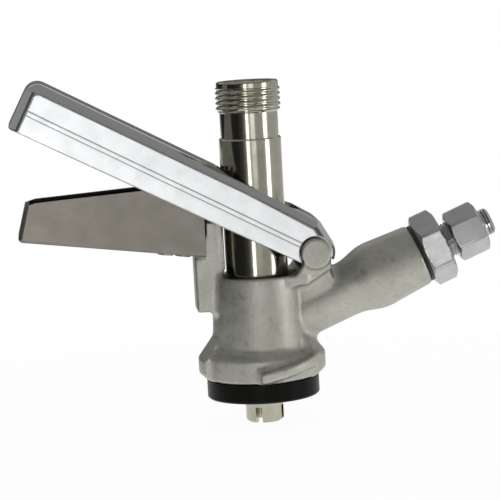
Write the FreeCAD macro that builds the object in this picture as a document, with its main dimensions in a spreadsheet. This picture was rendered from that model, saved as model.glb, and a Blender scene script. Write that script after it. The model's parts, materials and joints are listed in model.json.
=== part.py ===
import FreeCAD, Part
import Sketcher
import os
import re
from FreeCAD import Vector

# Keg coupler (beer tap head), in millimetres.
# The origin is the middle of the seal's underside, where the coupler sits on the keg's neck.
# +Z runs up the probe, +X points to the gas arm, and the lever and the grip reach to -X.

SIZES = {
    # Fits that several pieces share
    "running_gap": 0.05,
    "side_play": 0.1,
    # Probe: the turned tube that carries the beer
    "tube_dia": 22.0,
    "neck_dia": 20.4,
    "outlet_thread_dia": 22.9,
    "stem_dia": 13.5,
    "outlet_rise": 68.3,
    "thread_length": 10.8,
    "neck_length": 9.0,
    "lead_in": 0.9,
    "tube_foot": 24.0,
    "tip_drop": 9.3,
    "tip_bevel": 0.8,
    "notch_width": 2.4,
    "notch_depth": 5.6,
    "notch_turn": -23.6,
    "beer_bore": 7.2,
    "seal_flange_dia": 17.2,
    "seal_flange_thick": 2.0,
    # Check ball and its retainer in the outlet
    "ball_dia": 11.0,
    "ball_lift": 2.2,
    "ball_bore": 14.4,
    "retainer_dia": 16.4,
    "retainer_thick": 2.6,
    "retainer_depth": 0.6,
    "retainer_hole_dia": 3.6,
    "retainer_hole_circle": 9.8,
    # Rubber ring at the foot of the probe
    "tip_seal_dia": 18.4,
    "tip_seal_thick": 4.0,
    "tip_seal_height": 0.8,
    # Barrel and collar of the casting
    "rim_height": 43.5,
    "rim_dia": 31.6,
    "mouth_dia": 27.7,
    "mouth_depth": 5.5,
    "land_length": 5.0,
    "chamber_dia": 26.6,
    "barrel_foot_dia": 34.6,
    "collar_height": 16.4,
    "collar_dia": 39.6,
    "collar_shoulder": 1.4,
    "spigot_dia": 30.0,
    "spigot_foot": 2.2,
    # Bayonet lugs and the ramps that lead up to them
    "lug_dia": 45.2,
    "lug_foot": 9.4,
    "lug_thick": 5.2,
    "lug_slope": 1.35,
    "lug_angle": 56.0,
    "lug_turn": -6.0,
    "ramp_thick": 3.6,
    "ramp_foot": 7.4,
    "ramp_rise": 4.6,
    "ramp_angle": 62.0,
    # Keg seal
    "seal_dia": 39.9,
    "seal_bore": 25.0,
    "seal_thick": 6.7,
    "seal_bevel": 0.6,
    # Sliding seal in the barrel
    "oring_section": 2.4,
    "oring_side_gap": 0.1,
    "oring_drop": 8.0,
    "wiper_thick": 2.2,
    # Gas arm of the casting
    "arm_drop": 20.5,
    "arm_tilt": 22.0,
    "arm_neck_dia": 19.6,
    "arm_swell_from": 36.0,
    "arm_swell_to": 44.0,
    "arm_swell_round": 18.0,
    "sleeve_dia": 24.6,
    "arm_end_dia": 22.3,
    "arm_length": 62.8,
    "arm_bevel": 0.8,
    "gas_passage": 6.0,
    "valve_chamber_dia": 13.0,
    "valve_chamber_depth": 25.8,
    "socket_dia": 15.9,
    "socket_depth": 14.8,
    # Pivot ears
    "pivot_reach": 19.85,
    "pivot_rise": 7.5,
    "boss_dia": 10.7,
    "boss_proud": 1.3,
    "ear_thick": 4.1,
    "saddle_gap": 0.6,
    "ear_wall": 1.5,
    "ear_drop": 3.4,
    "ear_slope": 30.0,
    "web_width": 18.0,
    "pad_width": 26.8,
    "pad_reach": 16.5,
    "pad_drop": 3.5,
    "pad_rise": 2.8,
    "pad_bevel": 0.8,
    "pivot_dia": 5.5,
    "pivot_head_dia": 8.4,
    "pivot_head_thick": 1.2,
    "pivot_washer_dia": 9.6,
    "pivot_washer_thick": 0.6,
    # Lever, a channel that straddles the probe
    "lever_angle": 28.4,
    "lever_travel": 13.5,
    "lever_length": 115.4,
    "lever_wall": 1.9,
    "lever_tube_gap": 0.6,
    "lever_skirt": 5.5,
    "lever_heel": 7.25,
    "lever_crown": 3.3,
    "lever_crown_height": 10.7,
    "lever_crown_round": 4.0,
    "lever_bend": 30.0,
    "lever_bend_height": 12.1,
    "lever_end_height": 13.3,
    "lever_end_round": 5.0,
    "lever_shoulder": 4.0,
    "lever_edge": 0.6,
    "slot_corner": 5.0,
    "dish_dia": 12.3,
    "heel_cut": 0.4,
    "hub_dia": 10.8,
    "bead_width": 1.6,
    "bead_proud": 0.35,
    "bead_low": 0.4,
    "bead_high": 2.2,
    "drive_pin_dia": 3.6,
    "drive_pin_reach": 1.0,
    "drive_pin_depth": 4.0,
    "drive_slot_gap": 0.3,
    # Bracket on the barrel, and the fixed grip
    "bracket_reach": 22.3,
    "bracket_width": 13.0,
    "bracket_drop": 11.9,
    "shelf_rise": 6.9,
    "post_reach": 18.0,
    "post_thick": 3.3,
    "post_gap": 1.3,
    "post_rise": 20.4,
    "post_floor_rise": 5.1,
    "hook_thick": 1.7,
    "hook_rise": 2.9,
    "tongue_length": 13.0,
    "tongue_thick": 4.0,
    "grip_root_reach": 22.9,
    "grip_root_rise": 8.5,
    "grip_rise": 8.3,
    "grip_width": 17.0,
    "grip_wall": 1.5,
    "grip_length": 61.4,
    "grip_overhang": 4.6,
    "grip_end_height": 12.8,
    "grip_end_lean": 1.6,
    "grip_nose_height": 14.3,
    "grip_nose": 3.5,
    "grip_crown": 19.9,
    "grip_crown_height": 21.6,
    "grip_back_height": 18.2,
    "grip_back_lean": 2.6,
    "grip_round": 1.6,
    "rivet_dia": 3.2,
    "rivet_head_dia": 5.6,
    "rivet_head_thick": 1.0,
    "rivet_first": 3.0,
    "rivet_pitch": 6.2,
    # Gas fittings, placed along the arm
    "gas_washer_dia": 21.2,
    "gas_washer_thick": 1.0,
    "adapter_across": 23.5,
    "adapter_hex_length": 8.8,
    "adapter_turn": 26.0,
    "hex_bevel": 0.9,
    "adapter_bore": 6.6,
    "adapter_thread_dia": 12.6,
    "adapter_thread_length": 7.6,
    "valve_flange_thick": 1.6,
    "valve_length": 8.6,
    "valve_root_dia": 10.4,
    "valve_lip_dia": 4.4,
    "valve_wall": 1.1,
    "valve_slit": 0.5,
    "valve_retainer_bore": 8.0,
    "nut_across": 16.5,
    "nut_length": 11.6,
    "nut_turn": 22.5,
    "nut_standoff": 3.0,
    "tail_dia": 10.0,
    "tail_bore": 7.2,
    "tail_length": 10.8,
    "tail_ridge": 0.5,
    "ferrule_length": 2.8,
}

# Sizes that follow from the driving ones and that several pieces share
FOLLOWING = {
    "outlet_height": "rim_height + outlet_rise",
    "oring_height": "rim_height - oring_drop",
    "arm_height": "rim_height - arm_drop",
    "pivot_height": "rim_height + pivot_rise",
    "bracket_foot": "rim_height - bracket_drop",
    "bracket_shelf": "rim_height + shelf_rise",
    "post_height": "rim_height + post_rise",
    "post_floor": "rim_height + post_floor_rise",
    "hook_foot": "rim_height + hook_rise",
    "grip_root_height": "rim_height + grip_root_rise",
    "tube_radius": "tube_dia / 2",
    "thread_foot": "outlet_height - thread_length",
    "neck_foot": "thread_foot - neck_length",
    "beer_radius": "beer_bore / 2",
    "retainer_seat": "outlet_height - retainer_depth - retainer_thick",
    "ball_height": "retainer_seat - side_play - ball_lift - ball_dia / 2",
    "seat_foot": "ball_height - (ball_dia / 2 + running_gap) / sin(45) + beer_radius",
    "tip_seal_top": "tip_seal_height + tip_seal_thick",
    "land_top": "rim_height - mouth_depth",
    "land_foot": "land_top - land_length",
    "sliding_radius": "tube_radius + running_gap",
    "oring_outer": "sliding_radius + oring_section",
    "lever_inner": "tube_radius + lever_tube_gap",
    "lever_outer": "lever_inner + lever_wall",
    "ear_outer": "lever_outer + boss_proud",
    "ear_inner": "ear_outer - ear_thick",
    "dish_face": "ear_inner - pivot_washer_thick - side_play",
    "dish_back": "dish_face - lever_wall",
    "closed_angle": "lever_angle - lever_travel",
    "pin_height": "pivot_height + pivot_reach * tan(lever_angle)",
    "pin_open": "pivot_reach / cos(lever_angle)",
    "pin_closed": "pivot_reach / cos(closed_angle)",
    "heel_turn": "atan(lever_crown_height / lever_crown) - 90 deg"
                 " + acos(lever_heel / sqrt(lever_crown ^ 2 + lever_crown_height ^ 2))",
    "cheek_top": "lever_crown_height + (lever_heel - lever_crown)"
                 " * (lever_bend_height - lever_crown_height) / (lever_bend - lever_crown)",
    "valve_seat": "arm_length - socket_depth",
    "valve_chamber_foot": "arm_length - valve_chamber_depth",
    "adapter_inner_end": "valve_seat + 2 * valve_flange_thick",
    "adapter_face": "arm_length + gas_washer_thick",
    "adapter_back": "adapter_face + adapter_hex_length",
    "adapter_end": "adapter_back + adapter_thread_length",
    "nut_face": "adapter_back + nut_standoff",
    "nut_end": "nut_face + nut_length",
    "tail_end": "adapter_end + tail_length",
    "ferrule_back": "adapter_end + ferrule_length",
}

TIP_NOTCHES = 4
RETAINER_HOLES = 6

document = FreeCAD.newDocument("keg_coupler")
sheet = document.addObject("Spreadsheet::Sheet", "sizes")
for row, (alias, size) in enumerate(SIZES.items(), start=1):
    sheet.set(f"A{row}", alias)
    sheet.set(f"B{row}", str(size))
    sheet.setAlias(f"B{row}", alias)
document.recompute()

WORD = re.compile(r"[a-z]+(?:_[a-z]+)*")


def bound(text):
    """Expression in which each size's name points to its cell in the sheet."""
    def swap(match):
        name = match.group(0)
        if name in FOLLOWING:
            return "(" + bound(FOLLOWING[name]) + ")"
        return "sizes." + name if name in SIZES else name
    return WORD.sub(swap, str(text))


def value(text):
    """The number that an expression gives now."""
    return float(sheet.evalExpression(bound(text)))


def part_body(label):
    body = document.addObject("PartDesign::Body", label)
    body.Label = label
    return body


def along_arm(body):
    """Lays a body's own X axis along the gas arm."""
    body.Placement.Rotation.Axis = Vector(0, -1, 0)
    body.setExpression("Placement.Rotation.Angle", bound("arm_tilt"))
    body.setExpression("Placement.Base.z", bound("arm_height"))
    return body


def empty_sketch(body, name, plane, lift=None, shift=None, turn=None):
    """Sketch on one of the body's origin planes; shift and turn move it within that plane."""
    sketch = body.newObject("Sketcher::SketchObject", name)
    face = next(item for item in body.Origin.OriginFeatures if item.Role == plane)
    sketch.AttachmentSupport = (face, [""])
    sketch.MapMode = "FlatFace"
    if lift:
        sketch.setExpression("AttachmentOffset.Base.z", bound(lift))
    if shift:
        sketch.setExpression("AttachmentOffset.Base.x", bound(shift[0]))
        sketch.setExpression("AttachmentOffset.Base.y", bound(shift[1]))
    if turn:
        sketch.AttachmentOffset.Rotation.Axis = Vector(0, 0, 1)
        sketch.setExpression("AttachmentOffset.Rotation.Angle", bound(turn))
    return sketch


def place_point(sketch, geometry, vertex, corner):
    for kind, text in zip(("DistanceX", "DistanceY"), corner):
        number = sketch.addConstraint(Sketcher.Constraint(kind, -1, 1, geometry, vertex, value(text)))
        sketch.setExpression(f"Constraints[{number}]", bound(text))


def outline(body, name, plane, corners, **place):
    """Closed outline of straight edges through corners given as pairs of expressions."""
    sketch = empty_sketch(body, name, plane, **place)
    points = [Vector(value(x), value(y), 0) for x, y in corners]
    count = len(points)
    for i in range(count):
        sketch.addGeometry(Part.LineSegment(points[i], points[(i + 1) % count]))
    for i in range(count):
        sketch.addConstraint(Sketcher.Constraint("Coincident", i, 2, (i + 1) % count, 1))
    for i in range(count):
        place_point(sketch, i, 1, corners[i])
    return sketch


def disc(body, name, plane, centre, radius, **place):
    sketch = empty_sketch(body, name, plane, **place)
    middle = Vector(value(centre[0]), value(centre[1]), 0)
    sketch.addGeometry(Part.Circle(middle, Vector(0, 0, 1), value(radius)))
    place_point(sketch, 0, 3, centre)
    number = sketch.addConstraint(Sketcher.Constraint("Radius", 0, value(radius)))
    sketch.setExpression(f"Constraints[{number}]", bound(radius))
    return sketch


def feature(kind, body, sketch, name):
    made = body.newObject("PartDesign::" + kind, name)
    made.Profile = sketch
    sketch.Visibility = False
    return made


def pad(body, sketch, name, length, side="Symmetric", down=False):
    made = feature("Pad", body, sketch, name)
    made.SideType = side
    made.Reversed = down
    made.setExpression("Length", bound(length))
    return made


def pocket(body, sketch, name, length, side="Symmetric", up=False):
    made = feature("Pocket", body, sketch, name)
    made.SideType = side
    made.Reversed = up
    made.setExpression("Length", bound(length))
    return made


def turned(body, sketch, name, axis="V_Axis", cut=False):
    """Full turn of an outline about its sketch's axis, added or cut away."""
    made = feature("Groove" if cut else "Revolution", body, sketch, name)
    made.ReferenceAxis = (sketch, [axis])
    made.Angle = 360
    return made


def round_edges(body, base, name, radius, wanted):
    """Rounds those edges of a finished feature that pass a test."""
    document.recompute()
    names = [f"Edge{i}" for i, edge in enumerate(base.Shape.Edges, start=1) if wanted(edge)]
    if not names:
        raise RuntimeError(f"{body.Label}: {name} found no edge")
    made = body.newObject("PartDesign::Fillet", name)
    made.Base = (base, names)
    made.setExpression("Radius", bound(radius))
    return made


def round_pattern(body, base, name, count):
    """Copies a feature evenly about the body's Z axis."""
    made = body.newObject("PartDesign::PolarPattern", name)
    made.Originals = [base]
    made.Axis = (next(item for item in body.Origin.OriginFeatures if item.Role == "Z_Axis"), [""])
    made.Angle = 360
    made.Occurrences = count
    body.Tip = made
    return made


def box_outline(body, name, plane, left, right, low, high, **place):
    return outline(body, name, plane, [(left, low), (right, low), (right, high), (left, high)], **place)


def barrel_outline(body):
    """Outside of the spigot, collar and barrel, closed along the middle."""
    return outline(body, "barrel_side", "XZ_Plane", [
        ("0", "spigot_foot"),
        ("spigot_dia / 2", "spigot_foot"),
        ("spigot_dia / 2", "seal_thick"),
        ("collar_dia / 2", "seal_thick"),
        ("collar_dia / 2", "collar_height - collar_shoulder"),
        ("collar_dia / 2 - collar_shoulder", "collar_height"),
        ("barrel_foot_dia / 2", "collar_height"),
        ("rim_dia / 2", "rim_height"),
        ("0", "rim_height"),
    ])


def hollow_outline(body):
    """Mouth, sliding land with its seal groove, and gas chamber."""
    groove_top = "oring_height + oring_section / 2 + oring_side_gap"
    groove_foot = "oring_height - oring_section / 2 - oring_side_gap"
    return outline(body, "barrel_hollow", "XZ_Plane", [
        ("0", "spigot_foot"),
        ("chamber_dia / 2", "spigot_foot"),
        ("chamber_dia / 2", "land_foot"),
        ("sliding_radius", "land_foot"),
        ("sliding_radius", groove_foot),
        ("oring_outer", groove_foot),
        ("oring_outer", groove_top),
        ("sliding_radius", groove_top),
        ("sliding_radius", "land_top"),
        ("mouth_dia / 2", "land_top"),
        ("mouth_dia / 2", "rim_height"),
        ("0", "rim_height"),
    ])


def gas_arm(body):
    """Arm that swells into a sleeve at its end, tilted up from the barrel."""
    along = {"shift": ("0", "arm_height"), "turn": "arm_tilt"}
    side = outline(body, "arm_side", "XZ_Plane", [
        ("0", "0"),
        ("arm_length", "0"),
        ("arm_length", "arm_end_dia / 2 - arm_bevel"),
        ("arm_length - arm_bevel", "arm_end_dia / 2"),
        ("arm_swell_to", "sleeve_dia / 2"),
        ("arm_swell_from", "arm_neck_dia / 2"),
        ("0", "arm_neck_dia / 2"),
    ], **along)
    arm = turned(body, side, "arm", "H_Axis")
    swells = [value("arm_neck_dia / 2"), value("sleeve_dia / 2")]

    def at_swell(edge):
        return hasattr(edge.Curve, "Radius") and any(abs(edge.Curve.Radius - r) < 1e-6 for r in swells) \
            and edge.BoundBox.XMin > value("arm_neck_dia / 2")
    return round_edges(body, arm, "arm_swell", "arm_swell_round", at_swell), along


def gas_bores(body, along):
    """Passage, valve chamber and threaded socket, bored along the arm from its end."""
    side = outline(body, "arm_bores", "XZ_Plane", [
        ("stem_dia / 2", "0"),
        ("arm_length", "0"),
        ("arm_length", "socket_dia / 2"),
        ("valve_seat", "socket_dia / 2"),
        ("valve_seat", "valve_chamber_dia / 2"),
        ("valve_chamber_foot", "valve_chamber_dia / 2"),
        ("valve_chamber_foot", "gas_passage / 2"),
        ("stem_dia / 2", "gas_passage / 2"),
    ], **along)
    return turned(body, side, "gas_way", "H_Axis", cut=True)


def pivot_yoke(body):
    """Two ears for the lever's pin, on a pad across the barrel's side and a web over the arm."""
    far = "pivot_reach + boss_dia / 2"
    ear_foot = "rim_height - ear_drop"
    ear_tail = f"{ear_foot} + ({far} - pad_reach) * tan(ear_slope)"
    side = outline(body, "pad_side", "XZ_Plane", [
        ("pad_reach - boss_dia", "rim_height - pad_drop"),
        ("pad_reach", "rim_height - pad_drop"),
        ("pad_reach", "rim_height + pad_rise"),
        ("mouth_dia / 2 + pad_bevel", "rim_height + pad_rise"),
        ("mouth_dia / 2", "rim_height + pad_rise - pad_bevel"),
        ("mouth_dia / 2", "rim_height"),
        ("pad_reach - boss_dia", "rim_height"),
    ])
    pad(body, side, "ear_pad", "pad_width")
    plate = outline(body, "ear_side", "XZ_Plane", [
        ("pad_reach", ear_foot),
        (far, ear_tail),
        (far, "pivot_height"),
        ("pad_reach", "pivot_height"),
    ])
    pad(body, plate, "ears", "2 * (ear_inner + ear_wall)")
    boss = disc(body, "boss_side", "XZ_Plane", ("pivot_reach", "pivot_height"), "boss_dia / 2")
    pad(body, boss, "boss", "2 * ear_outer")
    web = outline(body, "web_side", "XZ_Plane", [
        ("chamber_dia / 2", "arm_height + chamber_dia / 2 * tan(arm_tilt)"),
        (far, f"arm_height + ({far}) * tan(arm_tilt)"),
        (far, ear_tail),
        ("pad_reach", ear_foot),
        ("chamber_dia / 2", ear_foot),
    ])
    pad(body, web, "web", "web_width")


def pivot_gap(body):
    """Room between the ears for the lever's heel, and the pin's hole."""
    saddle = disc(body, "saddle_side", "XZ_Plane", ("pivot_reach", "pivot_height"),
                  "lever_heel + saddle_gap")
    pocket(body, saddle, "saddle", "2 * ear_inner")
    hole = disc(body, "pin_hole_side", "XZ_Plane", ("pivot_reach", "pivot_height"), "pivot_dia / 2")
    pocket(body, hole, "pin_hole", "2 * ear_outer")


def grip_frame():
    """Place of the grip's own axes, at its lower inner corner and tilted up with it."""
    return {"shift": ("-grip_root_reach", "grip_root_height"), "turn": "-grip_rise"}


def grip_bracket(body):
    """Rib on the barrel with a post, a hooked post beside the probe and a tongue for the grip."""
    post_inner = "-(post_reach - post_thick)"
    hook_outer = "-(post_reach - post_thick - post_gap)"
    hook_inner = "-(post_reach - post_thick - post_gap - hook_thick)"
    rib = outline(body, "rib_side", "XZ_Plane", [
        ("-bracket_reach", "bracket_foot"),
        ("-mouth_dia / 2", "bracket_foot"),
        ("-mouth_dia / 2", "hook_foot"),
        (hook_inner, "hook_foot"),
        (hook_inner, "post_height"),
        (hook_outer, "post_height"),
        (hook_outer, "post_floor"),
        (post_inner, "post_floor"),
        (post_inner, "post_height"),
        ("-post_reach", "post_height"),
        ("-post_reach", "bracket_shelf"),
        ("-bracket_reach", "bracket_shelf"),
    ])
    pad(body, rib, "rib", "bracket_width")
    tongue = box_outline(body, "tongue_side", "XZ_Plane", "-tongue_length",
                         "grip_root_reach - post_reach + post_thick / 2",
                         "grip_wall", "grip_wall + tongue_thick", **grip_frame())
    pad(body, tongue, "tongue", "bracket_width")
    for i in range(2):
        reach = f"-(rivet_first + {i} * rivet_pitch)"
        hole = box_outline(body, f"rivet_hole_side_{i + 1}", "XZ_Plane", reach, f"{reach} + rivet_dia / 2",
                           "0", "grip_wall + tongue_thick", **grip_frame())
        hole.addGeometry(Part.LineSegment(Vector(value(reach), 0, 0), Vector(value(reach), 1, 0)), True)
        hole.addConstraint(Sketcher.Constraint("Coincident", 4, 1, 0, 1))
        hole.addConstraint(Sketcher.Constraint("Coincident", 4, 2, 3, 1))
        turned(body, hole, f"rivet_hole_{i + 1}", "Axis0", cut=True)


def bayonet(body):
    """Two opposite lugs, each with a ramp that winds up to it from the side."""
    for i in range(2):
        turn = f"lug_turn + {180 * i}"
        lug = outline(body, f"lug_side_{i + 1}", "XZ_Plane", [
            ("chamber_dia / 2", "seal_thick"),
            ("collar_dia / 2", "seal_thick"),
            ("lug_dia / 2", "lug_foot"),
            ("lug_dia / 2", "lug_foot + lug_thick"),
            ("barrel_foot_dia / 2", "lug_foot + lug_thick + lug_slope * (lug_dia - barrel_foot_dia) / 2"),
            ("chamber_dia / 2", "lug_foot + lug_thick + lug_slope * (lug_dia - barrel_foot_dia) / 2"),
        ])
        lug.AttachmentOffset.Rotation.Axis = Vector(0, 1, 0)
        lug.setExpression("AttachmentOffset.Rotation.Angle", bound(turn))
        sector = feature("Revolution", body, lug, f"lug_{i + 1}")
        sector.ReferenceAxis = (lug, ["V_Axis"])
        sector.Midplane = True
        sector.setExpression("Angle", bound("lug_angle"))
        start = f"{turn} - lug_angle / 2 - ramp_angle"
        ramp = outline(body, f"ramp_side_{i + 1}", "XZ_Plane", [
            ("chamber_dia / 2 + 1", "ramp_foot"),
            ("lug_dia / 2", "ramp_foot"),
            ("lug_dia / 2", "ramp_foot + ramp_thick"),
            ("chamber_dia / 2 + 1", "ramp_foot + ramp_thick"),
        ])
        ramp.AttachmentOffset.Rotation.Axis = Vector(0, 1, 0)
        ramp.setExpression("AttachmentOffset.Rotation.Angle", bound(start))
        wound = feature("AdditiveHelix", body, ramp, f"ramp_{i + 1}")
        wound.ReferenceAxis = (ramp, ["V_Axis"])
        wound.Mode = "pitch-height-angle"
        wound.setExpression("Pitch", bound("ramp_rise * 360 / ramp_angle"))
        wound.setExpression("Height", bound("ramp_rise * 1.1"))


def body_casting():
    body = part_body("body_casting")
    _, along = gas_arm(body)
    turned(body, barrel_outline(body), "barrel")
    pivot_yoke(body)
    grip_bracket(body)
    bayonet(body)
    turned(body, hollow_outline(body), "barrel_bore", cut=True)
    gas_bores(body, along)
    pivot_gap(body)
    return body


def keg_seal():
    body = part_body("keg_seal")
    ring = outline(body, "seal_side", "XZ_Plane", [
        ("seal_bore / 2", "0"),
        ("seal_dia / 2 - seal_bevel", "0"),
        ("seal_dia / 2", "seal_bevel"),
        ("seal_dia / 2", "seal_thick"),
        ("spigot_dia / 2", "seal_thick"),
        ("spigot_dia / 2", "spigot_foot"),
        ("seal_bore / 2", "spigot_foot"),
    ])
    turned(body, ring, "seal_ring")
    return body


def probe_oring():
    body = part_body("probe_oring")
    section = disc(body, "oring_side", "XZ_Plane", ("sliding_radius + oring_section / 2", "oring_height"),
                   "oring_section / 2")
    turned(body, section, "oring")
    return body


def wiper_ring():
    body = part_body("wiper_ring")
    ring = outline(body, "wiper_side", "XZ_Plane", [
        ("sliding_radius", "land_top"),
        ("mouth_dia / 2", "land_top"),
        ("mouth_dia / 2", "land_top + wiper_thick / 2"),
        ("sliding_radius", "land_top + wiper_thick"),
    ])
    turned(body, ring, "wiper")
    return body


def probe():
    """Tube with the outlet's thread zone, relief neck, ball seat and notched tip."""
    body = part_body("probe")
    seat_top = "seat_foot + ball_bore / 2 - beer_radius"
    side = outline(body, "probe_side", "XZ_Plane", [
        ("beer_radius", "-tip_drop"),
        ("stem_dia / 2 - tip_bevel", "-tip_drop"),
        ("stem_dia / 2", "-tip_drop + tip_bevel"),
        ("stem_dia / 2", "tip_seal_top"),
        ("seal_flange_dia / 2", "tip_seal_top"),
        ("seal_flange_dia / 2", "tip_seal_top + seal_flange_thick"),
        ("stem_dia / 2", "tip_seal_top + seal_flange_thick"),
        ("stem_dia / 2", "tube_foot - (tube_dia - stem_dia) / 4"),
        ("tube_radius", "tube_foot"),
        ("tube_radius", "neck_foot - lead_in / 2"),
        ("tube_radius - lead_in / 2", "neck_foot"),
        ("neck_dia / 2", "neck_foot"),
        ("neck_dia / 2", "thread_foot"),
        ("outlet_thread_dia / 2 - lead_in", "thread_foot"),
        ("outlet_thread_dia / 2", "thread_foot + lead_in"),
        ("outlet_thread_dia / 2", "outlet_height - lead_in"),
        ("outlet_thread_dia / 2 - lead_in", "outlet_height"),
        ("retainer_dia / 2", "outlet_height"),
        ("retainer_dia / 2", "retainer_seat"),
        ("ball_bore / 2", "retainer_seat"),
        ("ball_bore / 2", seat_top),
        ("beer_radius", "seat_foot"),
    ])
    turned(body, side, "probe_tube")
    notch = box_outline(body, "notch_plan", "XY_Plane", "beer_radius / 2", "stem_dia",
                        "-notch_width / 2", "notch_width / 2", lift="-tip_drop", shift=("0", "0"),
                        turn="notch_turn")
    cut = pocket(body, notch, "tip_notch", "notch_depth", side="One side", up=True)
    round_pattern(body, cut, "tip_notches", TIP_NOTCHES)
    hole = disc(body, "drive_hole_side", "XZ_Plane", ("0", "pin_height"), "drive_pin_dia / 2",
                lift="tube_radius - drive_pin_depth")
    near = pocket(body, hole, "drive_hole_front", "2 * drive_pin_depth", side="One side", up=True)
    rear = body.newObject("PartDesign::PolarPattern", "drive_holes")
    rear.Originals = [near]
    rear.Axis = (next(item for item in body.Origin.OriginFeatures if item.Role == "Z_Axis"), [""])
    rear.Angle = 360
    rear.Occurrences = 2
    body.Tip = rear
    return body


def probe_tip_seal():
    body = part_body("probe_tip_seal")
    ring = outline(body, "tip_seal_side", "XZ_Plane", [
        ("stem_dia / 2", "tip_seal_height"),
        ("seal_flange_dia / 2", "tip_seal_height"),
        ("tip_seal_dia / 2", "tip_seal_height + tip_seal_thick / 2"),
        ("seal_flange_dia / 2", "tip_seal_top"),
        ("stem_dia / 2", "tip_seal_top"),
    ])
    turned(body, ring, "tip_seal")
    return body


def ball_retainer():
    body = part_body("ball_retainer")
    plate = disc(body, "retainer_plan", "XY_Plane", ("0", "0"), "retainer_dia / 2", lift="retainer_seat")
    pad(body, plate, "retainer_plate", "retainer_thick", side="One side")
    hole = disc(body, "retainer_hole_plan", "XY_Plane", ("retainer_hole_circle / 2", "0"),
                "retainer_hole_dia / 2", lift="retainer_seat")
    cut = pocket(body, hole, "retainer_hole", "retainer_thick", side="One side", up=True)
    round_pattern(body, cut, "retainer_holes", RETAINER_HOLES)
    return body


def check_ball():
    ball = document.addObject("Part::Sphere", "check_ball")
    ball.Label = "check_ball"
    ball.setExpression("Radius", bound("ball_dia / 2"))
    ball.setExpression("Placement.Base.z", bound("ball_height"))
    return ball


def cross_cylinder(name, radius, length, reach, start, height):
    """Cylinder across the coupler: it starts at Y = start and runs to +Y."""
    made = document.addObject("Part::Cylinder", name)
    made.setExpression("Radius", bound(radius))
    made.setExpression("Height", bound(length))
    made.Placement.Rotation.Axis = Vector(-1, 0, 0)
    made.Placement.Rotation.Angle = 1.5707963267948966
    made.setExpression("Placement.Base.x", bound(reach))
    made.setExpression("Placement.Base.y", bound(start))
    made.setExpression("Placement.Base.z", bound(height))
    return made


def joined(kind, label, pieces):
    made = document.addObject("Part::" + kind, label)
    made.Label = label
    setattr(made, "Links" if kind == "Compound" else "Shapes", pieces)
    return made


def drive_pins():
    length = "drive_pin_depth + lever_tube_gap + drive_pin_reach"
    front = cross_cylinder("drive_pin_front", "drive_pin_dia / 2", length, "0",
                           "-(lever_inner + drive_pin_reach)", "pin_height")
    rear = cross_cylinder("drive_pin_rear", "drive_pin_dia / 2", length, "0",
                          "tube_radius - drive_pin_depth", "pin_height")
    return joined("Compound", "drive_pins", [front, rear])


def pivot_pin():
    shank = cross_cylinder("pivot_shank", "pivot_dia / 2", "2 * ear_outer", "pivot_reach",
                           "-ear_outer", "pivot_height")
    head = cross_cylinder("pivot_head", "pivot_head_dia / 2", "pivot_head_thick", "pivot_reach",
                          "ear_outer", "pivot_height")
    return joined("MultiFuse", "pivot_pin", [shank, head])


def pivot_washers():
    rings = []
    for place, start in (("front", "-ear_inner"), ("rear", "ear_inner - pivot_washer_thick")):
        plate = cross_cylinder(f"washer_plate_{place}", "pivot_washer_dia / 2", "pivot_washer_thick",
                               "pivot_reach", start, "pivot_height")
        hole = cross_cylinder(f"washer_hole_{place}", "pivot_dia / 2", "pivot_washer_thick",
                              "pivot_reach", start, "pivot_height")
        ring = document.addObject("Part::Cut", f"washer_{place}")
        ring.Base = plate
        ring.Tool = hole
        rings.append(ring)
    return joined("Compound", "pivot_washers", rings)


def lever():
    """Channel with rounded shoulders; its own X axis runs back from the free end to the pivot."""
    body = part_body("lever")
    body.Placement.Rotation.Axis = Vector(0, 1, 0)
    body.setExpression("Placement.Rotation.Angle", bound("lever_angle"))
    body.setExpression("Placement.Base.x", bound("pivot_reach"))
    body.setExpression("Placement.Base.z", bound("pivot_height"))
    side = outline(body, "lever_side", "XZ_Plane", [
        ("0", "-lever_skirt"),
        ("0", "0"),
        ("lever_heel * sin(heel_turn)", "lever_heel * cos(heel_turn)"),
        ("-lever_crown", "lever_crown_height"),
        ("-lever_bend", "lever_bend_height"),
        ("-lever_length", "lever_end_height"),
        ("-lever_length", "-lever_skirt"),
    ])
    pad(body, side, "lever_block", "2 * lever_outer")
    heel = disc(body, "heel_side", "XZ_Plane", ("0", "0"), "lever_heel")
    pad(body, heel, "heel", "2 * lever_outer")
    below = "-2 * lever_heel"
    trim = outline(body, "heel_trim_side", "XZ_Plane", [
        (below, "-lever_skirt"),
        ("0", "-lever_skirt"),
        ("0", "heel_cut"),
        ("2 * lever_heel", "heel_cut"),
        ("2 * lever_heel", below),
        (below, below),
    ])
    trimmed = pocket(body, trim, "heel_trim", "2 * lever_outer")
    outer, crown = value("lever_outer"), -value("lever_crown")
    free_end, foot = -value("lever_length"), -value("lever_skirt")

    def across_at(edge, reach):
        box = edge.BoundBox
        return abs(box.XMin - reach) + abs(box.XMax - reach) < 1e-6 and box.ZLength < 1e-6 and box.ZMin > 0

    def upper(edge):
        on_side = all(abs(abs(v.Y) - outer) < 1e-6 for v in edge.Vertexes) and edge.BoundBox.YLength < 1e-6
        return on_side and edge.BoundBox.ZMax > value("lever_heel / 2")

    def lower(edge):
        box = edge.BoundBox
        return abs(box.ZMin - foot) + abs(box.ZMax - foot) < 1e-6 and box.XMin < -value("lever_heel")
    crowned = round_edges(body, trimmed, "crown", "lever_crown_round", lambda edge: across_at(edge, crown))
    ended = round_edges(body, crowned, "end", "lever_end_round", lambda edge: across_at(edge, free_end))
    shoulders = round_edges(body, ended, "shoulders", "lever_shoulder", upper)
    round_edges(body, shoulders, "lower_edges", "lever_edge", lower)
    bead_line(body)
    lever_hollow(body)
    probe_slot(body)
    pivot_dishes(body)
    drive_slots(body)
    return body


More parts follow.
